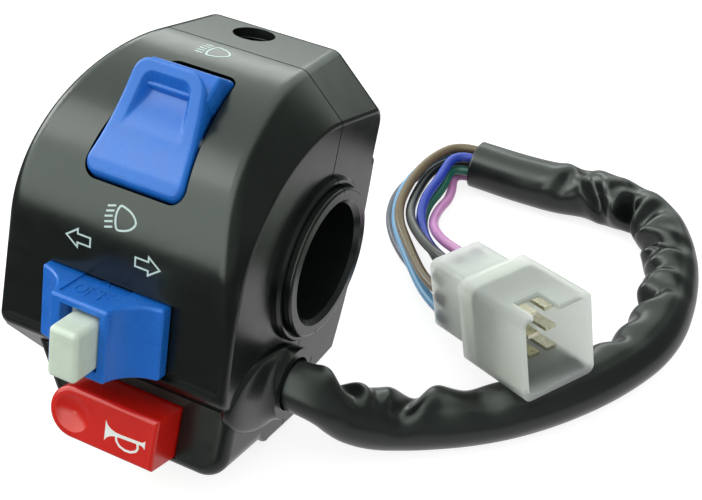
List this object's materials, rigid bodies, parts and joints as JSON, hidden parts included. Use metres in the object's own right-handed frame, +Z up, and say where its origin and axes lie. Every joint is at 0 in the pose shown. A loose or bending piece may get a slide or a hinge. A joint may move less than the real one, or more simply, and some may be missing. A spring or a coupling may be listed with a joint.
{
  "type": "handlebar switch cluster",
  "caption": "Left handlebar switch cluster with beam rocker, sliding turn switch, horn button and a sleeved cable with a white plug connector.",
  "frame": {"origin": "on the handlebar bore's axis, half way between the side faces of the housing", "axes": "+X along the bar towards the collar, -Y towards the rider, +Z up from the table the switch stands on; the housing leans back 24.5 degrees about X"},
  "size_m": [0.1079, 0.1245, 0.0728],
  "materials": {
    "black_housing": "satin moulded plastic",
    "zinc_steel": "zinc plated",
    "spring_steel": "drawn wire",
    "ball_steel": "polished",
    "contact_board": "phenolic board",
    "contact_brass": "stamped",
    "terminal_brass": "stamped",
    "blue_knob": "satin",
    "red_button": "satin",
    "cream_button": "satin",
    "inner_plastic": "matte",
    "sleeve_vinyl": "semi gloss vinyl",
    "milky_nylon": "milky, part translucent",
    "wire_dark_grey_cover": "vinyl",
    "wire_light_blue_cover": "vinyl",
    "wire_brown_cover": "vinyl",
    "wire_black_cover": "vinyl",
    "wire_dark_blue_cover": "vinyl",
    "wire_green_cover": "vinyl",
    "wire_pink_cover": "vinyl"
  },
  "bodies": {
    "housing": {"front_housing": "black_housing", "rear_housing": "black_housing", "mirror_boss": "black_housing", "housing_screws": "zinc_steel", "rocker_pin": "zinc_steel", "beam_contact_board": "contact_board", "beam_contacts": "contact_brass", "turn_contact_board": "contact_board", "turn_contacts": "contact_brass", "horn_contact_plate": "contact_board", "horn_contacts": "contact_brass", "board_screws": "zinc_steel", "horn_spring": "spring_steel", "cable_sleeve": "sleeve_vinyl", "cable_clip": "inner_plastic", "wire_dark_grey": "wire_dark_grey_cover", "wire_light_blue": "wire_light_blue_cover", "wire_brown": "wire_brown_cover", "wire_black": "wire_black_cover", "wire_dark_blue": "wire_dark_blue_cover", "wire_green": "wire_green_cover", "wire_pink": "wire_pink_cover", "connector_housing": "milky_nylon", "connector_terminals": "terminal_brass"},
    "rocker": {"beam_rocker": "blue_knob", "rocker_plunger": "contact_brass", "rocker_spring": "spring_steel"},
    "turn_switch": {"turn_knob": "blue_knob", "turn_carriage": "inner_plastic", "detent_ball": "ball_steel", "detent_spring": "spring_steel", "cancel_spring": "spring_steel"},
    "cancel": {"cancel_button": "cream_button"},
    "horn": {"horn_button": "red_button", "horn_contact_bridge": "contact_brass"}
  },
  "joints": [
    {"name": "beam_select", "type": "hinge", "parent": "housing", "child": "rocker", "pos_m": [0.0014, -0.00893, 0.0262], "axis": [1, 0, 0], "range_deg": [-14, 0]},
    {"name": "turn_select", "type": "slide", "parent": "housing", "child": "turn_switch", "axis": [1, 0, 0], "range_m": [-0.004, 0.004]},
    {"name": "cancel_push", "type": "slide", "parent": "turn_switch", "child": "cancel", "axis": [0, 0.9588, -0.284], "range_m": [0, 0.0025], "stiffness_N_per_m": 150, "deforming": ["cancel_spring"]},
    {"name": "horn_push", "type": "slide", "parent": "housing", "child": "horn", "axis": [0, 0.91, -0.4147], "range_m": [0, 0.003], "stiffness_N_per_m": 200, "deforming": ["horn_spring"]}
  ]
}
